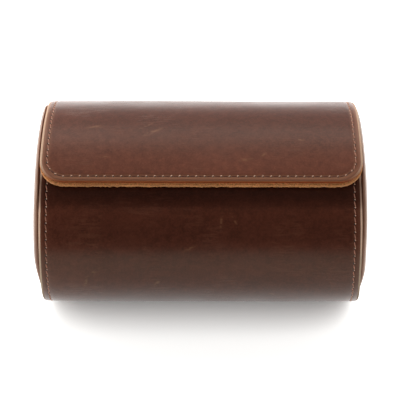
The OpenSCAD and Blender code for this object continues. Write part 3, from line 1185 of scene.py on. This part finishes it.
class WATCH_ROLL_OT_pillows(bpy.types.Operator):
    """Stuff the two watch pillows and sew on their end panels"""

    bl_idname = "watch_roll.pillows"
    bl_label = "Watch Pillows"

    def execute(self, context):
        suede = tinted(context.scene.roll_colours.suede, 0.95)
        for side in ("left", "right"):
            body, floor = f"{side}_pillow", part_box(f"{side}_pillow_sleeve")[0].z
            ends = [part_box(f"{body}_inner_end"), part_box(f"{body}_outer_end")]
            x0, x1 = min(box[0].x for box in ends), max(box[1].x for box in ends)
            half = (x1 - x0) / MM / 2 - PILLOW_SEAM
            piece = self.pad(f"{body}_pad", half)
            seam = self.piping(f"{body}_piping", half)
            for each in (piece, seam):
                shift(each, (x0 + x1) / 2, floor)
            material = shared("brushed_suede", split_suede, suede)
            finish_piece(piece, body, material, 60.0)
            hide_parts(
                f"{side}_pillow_foam",
                f"{side}_pillow_sleeve",
                f"{side}_pillow_outer_end",
                f"{side}_pillow_inner_end",
            )
            finish_piece(seam, body, pad_hide_material(), 60.0)
        return {"FINISHED"}

    def pad(self, name, half):
        """A closed oval pad, lying on its flattened underside with its lowest point at zero."""
        kept = bpy.data.meshes.get("stuffed_pad")
        if kept is not None:
            return linked(name, kept.copy())
        piece = straight_edge(name, np.linspace(-half, half, 25), *pillow_spot(0.8))
        turn_oval(PILLOW_CENTRES, (20, 16, 20, 16))
        for end in (-half, half):
            close_end(piece, end)
            bpy.ops.mesh.select_mode(type="FACE")
            for _ in range(9):
                inset_faces(2.0)
            bpy.ops.mesh.select_mode(type="VERT")
        face_outwards()
        self.stuff(piece, half)
        kept = piece.data.copy()
        kept.name = "stuffed_pad"
        kept.use_fake_user = True
        return piece

    def stuff(self, piece, half):
        """Blows the pad up from inside between its two seams, which are held."""
        before = points_of(piece)
        self.blow_up(piece, half)
        # nothing moves further than the room round the pad
        move = points_of(piece) - before
        far = np.linalg.norm(move, axis=1) + 1e-12
        move *= np.minimum(1.0, 1.5 * MM / far)[:, None]
        move[:, 0] = np.clip(move[:, 0], -1.1 * MM, 1.1 * MM)
        co = before + move
        co[:, 2] = np.maximum(co[:, 2], 0.0)
        for p in co:
            x, y, z = p / MM
            lump = 0.18 * MM * noise.noise(Vector((x / 15.0, y / 13.0, z / 13.0)))
            p += lump * np.array([0, np.sign(y), 0.6 if z > 6 else 0])
        set_points(piece, co)
        modify(piece, "SUBSURF", levels=1, render_levels=1)

    def blow_up(self, piece, half):
        """A short cloth simulation with pressure, whose result is kept as plain mesh."""
        x, y, z = points_of(piece).T / MM
        around = (y / PILLOW_HALF_DEPTH) ** 2 + (z / PILLOW_HALF_HEIGHT - 1) ** 2
        seams = np.flatnonzero((abs(abs(x) - half) < 0.001) & (around > 0.86)).tolist()
        piece.vertex_groups.new(name="held").add(seams, 1.0, "REPLACE")
        take(piece)
        bpy.ops.object.modifier_add(type="CLOTH")
        cloth = piece.modifiers[-1]
        for key, value in (
            ("vertex_group_mass", "held"),
            ("quality", 6),
            ("mass", 0.2),
            ("tension_stiffness", 12),
            ("compression_stiffness", 12),
            ("shear_stiffness", 6),
            ("bending_stiffness", 1.5),
            ("use_pressure", True),
            ("uniform_pressure_force", 4.0),
        ):
            setattr(cloth.settings, key, value)
        cloth.settings.effector_weights.gravity = 0.0
        cloth.collision_settings.use_collision = False
        cloth.point_cache.frame_start, cloth.point_cache.frame_end = 1, 20
        for number in range(1, 21):
            bpy.context.scene.frame_set(number)
        bpy.ops.object.modifier_apply(modifier=cloth.name)
        bpy.context.scene.frame_set(1)
        piece.vertex_groups.clear()

    def piping(self, name, half):
        """A thin cord sewn into each end seam."""
        fresh()
        bpy.ops.mesh.primitive_circle_add(
            vertices=8,
            radius=0.62 * MM,
            location=(0, 0, 0),
            rotation=(math.radians(90), 0, math.radians(90)),
        )
        ring = named(name)
        bpy.ops.object.transform_apply(location=True, rotation=True, scale=True)
        # the circle stands across the seam's path: one side of it along the roll, and
        # the other along the path's radius
        a = math.radians(ARCS[UNDER][3])
        y, z = pillow_spot(0.9)
        around = np.array([[0, 0, 0], [1, 0, 0], [0, math.cos(a), math.sin(a)]])
        set_points(ring, points_of(ring) @ around + np.array([half, y, z]) * MM)
        turn_oval(PILLOW_CENTRES, (20, 24, 20, 24))
        leave_edit()
        flatten_under(ring, 0.05)
        other = linked(name + "_other", ring.data.copy())
        set_points(other, points_of(other) * np.array([-1, 1, 1]))
        take(ring, other)
        bpy.ops.object.join()
        edit_all()
        face_outwards()
        return ring


# The stitching

# how far in from its edge the flap's front row lies, and how deep its row shows inside
FRONT_INSET, INNER_DEPTH = 2.6, 3.46


def stitch_unit(context, sunk):
    """One stitch, its hole's painted shade and a painted glint of thread at it, along X with the face's
    normal on Z.

    In a stitch in shade the strand is painted dark, as painted shade of its groove, and only its glint is
    pale.
    """
    title = "sunk_stitch" if sunk else "open_stitch"
    kept = bpy.data.meshes.get(title)
    if kept is not None:
        return kept
    sizes, look = context.scene.roll_sizes, context.scene.roll_colours
    width, pitch = sizes.thread_width, sizes.stitch_pitch
    lean, long = (4.0, 0.13) if sunk else (13.0, 0.09)
    strand = ("sunk_thread", look.sunk_thread) if sunk else ("waxed_thread", look.thread)
    # the hole is a near-black blob of painted shade, and the glint a painted highlight
    hole, fleck = ("stitch_hole", (0.012, 0.006, 0.004)), ("thread_fleck", look.fleck)
    parts = []
    # each part's place (pitches, then mm), its size (pitches, then widths) and its turn
    for name, spot, size, turn, (material, base) in (
        ("strand", (-0.05, 0.0, 0.05), (0.38, 0.5, 0.5), lean, strand),
        ("hole", (0.45, -0.22, 0.03), (0.13, 0.62, 0.36), -20.0, hole),
        ("fleck", (0.4, 0.16, 0.1), (long, 0.5, 0.5), 35.0, fleck),
    ):
        size = (size[0] * pitch, size[1] * width, size[2] * width)
        fresh()
        bpy.ops.mesh.primitive_uv_sphere_add(segments=8, ring_count=6, radius=1.0)
        part = named(name)
        edit_all()
        bpy.ops.transform.rotate(
            value=math.radians(90), orient_axis="Y", center_override=(0, 0, 0)
        )
        bpy.ops.transform.resize(value=size, center_override=(0, 0, 0))
        leave_edit()
        co = points_of(part)
        c, s = math.cos(math.radians(turn)), math.sin(math.radians(turn))
        co[:, :2] = co[:, :2] @ np.array([[c, s], [-s, c]])
        # the strand dives into its holes at both ends
        if name == "strand":
            co[:, 2] -= 0.3 * width * (np.abs(co[:, 0]) / size[0]) ** 4
        set_points(part, co + np.array([spot[0] * pitch, spot[1] * MM, spot[2] * MM]))
        part.data.materials.append(shared(material, twisted_thread, base))
        parts.append(part)
    unit = take(*parts)
    bpy.ops.object.join()
    bpy.ops.object.shade_smooth_by_angle(angle=math.radians(80))
    mesh = unit.data
    mesh.name = title
    mesh.use_fake_user = True
    bpy.data.objects.remove(unit)
    return mesh


def sew(context, name, path, body=None, under=False):
    """Copies the stitch along a path of (x, s, depth) points, one for each stitch."""
    meshes = [stitch_unit(context, sunk) for sunk in (False, True)]
    pieces = []
    for (x0, s0, _), (x, s, depth), (x1, s1, _) in zip(path, path[1:], path[2:], strict=False):
        ahead = (place(x1, s1, depth) - place(x0, s0, depth)).normalized()
        up = Vector((0, *outward(s))) * (-1 if under else 1)
        up = (up - ahead * up.dot(ahead)).normalized()
        turn = Matrix((ahead, up.cross(ahead), up)).transposed().to_4x4()
        # the rows that run across the flap have their strands painted dark, as painted shade
        stitch = linked(name, meshes[abs(ahead.x) > 0.7].copy())
        stitch.matrix_world = Matrix.Translation(place(x, s, depth)) @ turn
        pieces.append(stitch)
    row = take(*pieces)
    bpy.ops.object.join()
    bpy.ops.object.transform_apply(location=True, rotation=True, scale=True)
    row.name = row.data.name = name
    if body is not None:
        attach(row, body)
    return row


def straight_row(x, first, last, pitch, depth):
    count = max(2, round(abs(last - first) / pitch))
    step = (last - first) / count
    return [(x, first + step * i, depth) for i in range(-1, count + 2)]


def flap_row(inset, radius, pitch, depth, start):
    """The flap's one row: down a side, round a corner, along the front and back up."""
    r, front, step = radius - inset, radius - FRONT_INSET, 0.2
    s_turn = FLAP_END - radius
    points, s, x = [], start, -(HALF - radius)
    while s < s_turn:
        points.append((-(HALF - inset), s))
        s += step
    for i in range(61):
        a = math.radians(90 * i / 60)
        points.append((-(HALF - radius) - r * math.cos(a), s_turn + front * math.sin(a)))
    while x < 0:
        points.append((x, FLAP_END - FRONT_INSET))
        x += step
    whole = np.array(points + [(-x, s) for x, s in reversed(points)])
    lengths = np.append(0.0, np.cumsum(np.hypot(*np.diff(whole, axis=0).T)))
    count = round(lengths[-1] / pitch)
    wanted = lengths[-1] * (np.arange(count) + 0.5) / count
    xs, ss = (np.interp(wanted, lengths, values) for values in whole.T)
    path = [(float(x), float(s), depth) for x, s in zip(xs, ss, strict=True)]
    # one point more at each end, for the direction of the end stitches
    ends = (path[0], path[1]), (path[-1], path[-2])
    before, after = ((2 * a[0] - b[0], 2 * a[1] - b[1], depth) for a, b in ends)
    return [before, *path, after]


class WATCH_ROLL_OT_stitching(bpy.types.Operator):
    """Sew the ends of the body, the fold and the three free sides of the flap"""

    bl_idname = "watch_roll.stitching"
    bl_label = "Stitching"

    def execute(self, context):
        sizes = context.scene.roll_sizes
        pitch, inset = sizes.stitch_pitch / MM, sizes.stitch_inset / MM
        radius = sizes.corner_radius / MM
        half, depth = pitch / 2, hide_depth(3.2) + 0.02
        for way, side in ((-1, "left"), (1, "right")):
            x = way * (HALF - inset)
            row = straight_row(x, 4.0, FOLD_FROM - half, pitch, depth)
            sew(context, f"{side}_end_stitches", row, "case")
            row = straight_row(x, FOLD_FROM + half, FOLD_TO - half, pitch, depth)
            fold(sew(context, f"{side}_fold_stitches", row))
        row = flap_row(inset, radius, pitch, depth, FOLD_TO + half)
        sew(context, "flap_stitches", row, "flap")
        row = flap_row(inset, radius, pitch, INNER_DEPTH, STIFF_END + 3.0)
        sew(context, "flap_inner_stitches", row, "flap", under=True)
        return {"FINISHED"}


# The solids that stay as they are


class WATCH_ROLL_OT_firm_parts(bpy.types.Operator):
    """Give the boards and the magnets their materials"""

    bl_idname = "watch_roll.firm_parts"
    bl_label = "Boards and Magnets"

    def execute(self, context):
        look = context.scene.roll_colours
        board = shared("pressed_board", pressed_board, look.board)
        steel = shared("magnet_steel", ground_steel, look.steel)
        for name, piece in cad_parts.items():
            if piece.hide_render:
                continue
            material = steel if "magnets" in name else board
            piece.data.materials.clear()
            piece.data.materials.append(material)
        return {"FINISHED"}


# The stage

# The light tent: how bright it is from level in front (0), over the top (0.5), to
# level behind (1), and what a shiny surface sees of it
PEAK = 4.0
TENT = (
    (0.0, 0.32), (0.2, 0.27), (0.34, 0.0), (0.56, 0.0), (0.63, 2.1), (0.7, 3.4), (0.8, 2.6),
    (0.97, 1.2),
)
SHEEN = (
    (0.0, 0.02), (0.38, 0.05), (0.45, 1.65), (0.51, 1.7), (0.6, 1.08), (0.74, 0.72), (0.97, 0.7),
)
# How much of the tent's light comes from each side, from the left (0) to the right (1),
# and the panels at its two ends
TENT_SHARE = ((0.0, 0.5), (0.2, 0.6), (0.4, 1.0), (0.6, 1.0), (0.8, 0.5), (1.0, 0.4))
TENT_PANELS = ((0.0, 2.0), (0.07, 2.0), (0.12, 0.0), (0.92, 0.0), (0.96, 0.9), (1.0, 1.0))

# The camera: its height over the front in degrees, its distance and the point it looks
# at in metres, how far the view is turned in degrees, and its focal length in millimetres
ELEVATION, DISTANCE, TARGET = 37.0, 0.807, (-0.0002, 0.0, 0.0397)
VIEW_TURN, FOCAL_LENGTH = 0.13, 157.2


class WATCH_ROLL_OT_stage(bpy.types.Operator):
    """Set the pale floor, the soft lights and the camera"""

    bl_idname = "watch_roll.stage"
    bl_label = "Floor, Lights and Camera"

    def execute(self, context):
        self.floor()
        self.world(context)
        self.lamp()
        self.camera(context)
        context.scene.view_settings.view_transform = "Standard"
        return {"FINISHED"}

    def floor(self):
        fresh()
        bpy.ops.mesh.primitive_plane_add(size=8, location=(0, 0, -0.0002))
        floor = named("studio_floor")
        bpy.ops.object.transform_apply(location=True, rotation=False, scale=False)
        n = Nodes("pale_floor")
        path = n.add("ShaderNodeLightPath").outputs
        seen = n.math("MAXIMUM", path["Is Camera Ray"], path["Is Glossy Ray"])
        # what stands near shades it; away from the roll it shines white by itself
        near = n.add("ShaderNodeAmbientOcclusion", samples=16)
        near.inputs["Distance"].default_value = 0.12
        glow = n.math("MINIMUM", n.times(near.outputs["AO"], 1.72), 0.86)
        level = n.plus(seen, n.times(path["Is Glossy Ray"], 0.7))
        n.set(
            Base_Color=n.mix(seen, (0.9, 0.9, 0.9), (0.96, 0.96, 0.955)),
            Roughness=0.9,
            Specular_IOR_Level=0.1,
            Emission_Color=(1.0, 1.0, 0.99, 1.0),
            Emission_Strength=n.times(level, glow),
        )
        floor.data.materials.append(n.material)

    def world(self, context):
        world = bpy.data.worlds.new("studio")
        context.scene.world = world
        n = Nodes("studio", world)
        path = n.add("ShaderNodeLightPath").outputs
        x, y, z = n.axes(n.add("ShaderNodeTexCoord").outputs["Generated"])
        # how far round the tent a direction lies: 0 is level in front, 1 is level behind
        turn = n.math("DIVIDE", n.math("ARCTAN2", z, n.times(y, -1.0)), math.pi)
        across = n.plus(n.times(x, 0.5), 0.5)
        tent, sheen = self.levels(n, turn, TENT), self.levels(n, turn, SHEEN)
        light = n.mix(path["Is Glossy Ray"], tent, sheen)
        light = n.times(light, self.levels(n, across, TENT_SHARE))
        light = n.plus(light, self.levels(n, across, TENT_PANELS))
        room, white = n.add("ShaderNodeBackground"), n.add("ShaderNodeBackground")
        n.put(room.inputs, Color=(1.0, 0.985, 0.955, 1.0), Strength=light)
        n.put(white.inputs, Color=(1.0, 1.0, 1.0, 1.0))
        chosen = n.add("ShaderNodeMixShader")
        n.link(path["Is Camera Ray"], chosen.inputs["Fac"])
        n.link(room.outputs["Background"], chosen.inputs[1])
        n.link(white.outputs["Background"], chosen.inputs[2])
        out = n.add("ShaderNodeOutputWorld")
        n.link(chosen.outputs["Shader"], out.inputs["Surface"])

    def levels(self, n, factor, stops):
        """A brightness for each factor. A ramp's colours end at one, so they are scaled."""
        return n.times(n.ramp(factor, *((at, level / PEAK) for at, level in stops)), PEAK)

    def lamp(self):
        lamp = bpy.data.lights.new("overhead", "AREA")
        lamp.shape = "RECTANGLE"
        lamp.size, lamp.size_y, lamp.energy = 1.0, 0.4, 2.6
        lamp.color = (1.0, 0.985, 0.96)
        holder = linked("overhead", lamp)
        holder.location = Vector((0.0, 0.78, 0.92))
        aim = Vector((0, 0, 0.04)) - holder.location
        holder.rotation_euler = aim.to_track_quat("-Z", "Y").to_euler()

    def camera(self, context):
        lens = bpy.data.cameras.new("view")
        camera = linked("view", lens)
        elevation = math.radians(ELEVATION)
        away = Vector((0, -math.cos(elevation), math.sin(elevation))) * DISTANCE
        camera.location = Vector(TARGET) + away
        level = (-away).to_track_quat("-Z", "Y").to_matrix()
        turned = level @ Matrix.Rotation(math.radians(VIEW_TURN), 3, "Z")
        camera.rotation_euler = turned.to_euler()
        lens.lens, lens.sensor_width = FOCAL_LENGTH, 36.0
        lens.clip_start, lens.clip_end = 0.02, 20.0
        context.scene.camera = camera


class WATCH_ROLL_PT_panel(bpy.types.Panel):
    """Lists the roll's settings and the steps that build it"""

    bl_label = "Watch Roll"
    bl_idname = "WATCH_ROLL_PT_panel"
    bl_space_type = "VIEW_3D"
    bl_region_type = "UI"
    bl_category = "Watch Roll"

    def draw(self, context):
        column = self.layout.column()
        for group in (context.scene.roll_sizes, context.scene.roll_colours):
            for name in group.bl_rna.properties.keys():
                if name not in ("rna_type", "name"):
                    column.prop(group, name)
        for step in STEPS:
            column.operator(step.bl_idname)


STEPS = (
    WATCH_ROLL_OT_body_leather,
    WATCH_ROLL_OT_flap_leather,
    WATCH_ROLL_OT_hinge_leather,
    WATCH_ROLL_OT_suede,
    WATCH_ROLL_OT_trims,
    WATCH_ROLL_OT_end_caps,
    WATCH_ROLL_OT_pillows,
    WATCH_ROLL_OT_stitching,
    WATCH_ROLL_OT_firm_parts,
    WATCH_ROLL_OT_stage,
)
CLASSES = (RollSizes, RollColours, *STEPS, WATCH_ROLL_PT_panel)


def register():
    for each in CLASSES:
        bpy.utils.register_class(each)
    bpy.types.Scene.roll_sizes = bpy.props.PointerProperty(type=RollSizes)
    bpy.types.Scene.roll_colours = bpy.props.PointerProperty(type=RollColours)


def unregister():
    del bpy.types.Scene.roll_colours
    del bpy.types.Scene.roll_sizes
    for each in reversed(CLASSES):
        bpy.utils.unregister_class(each)


def main():
    """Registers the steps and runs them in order."""
    register()
    for step in STEPS:
        group, name = step.bl_idname.split(".")
        getattr(getattr(bpy.ops, group), name)()


if __name__ == "__main__":
    main()
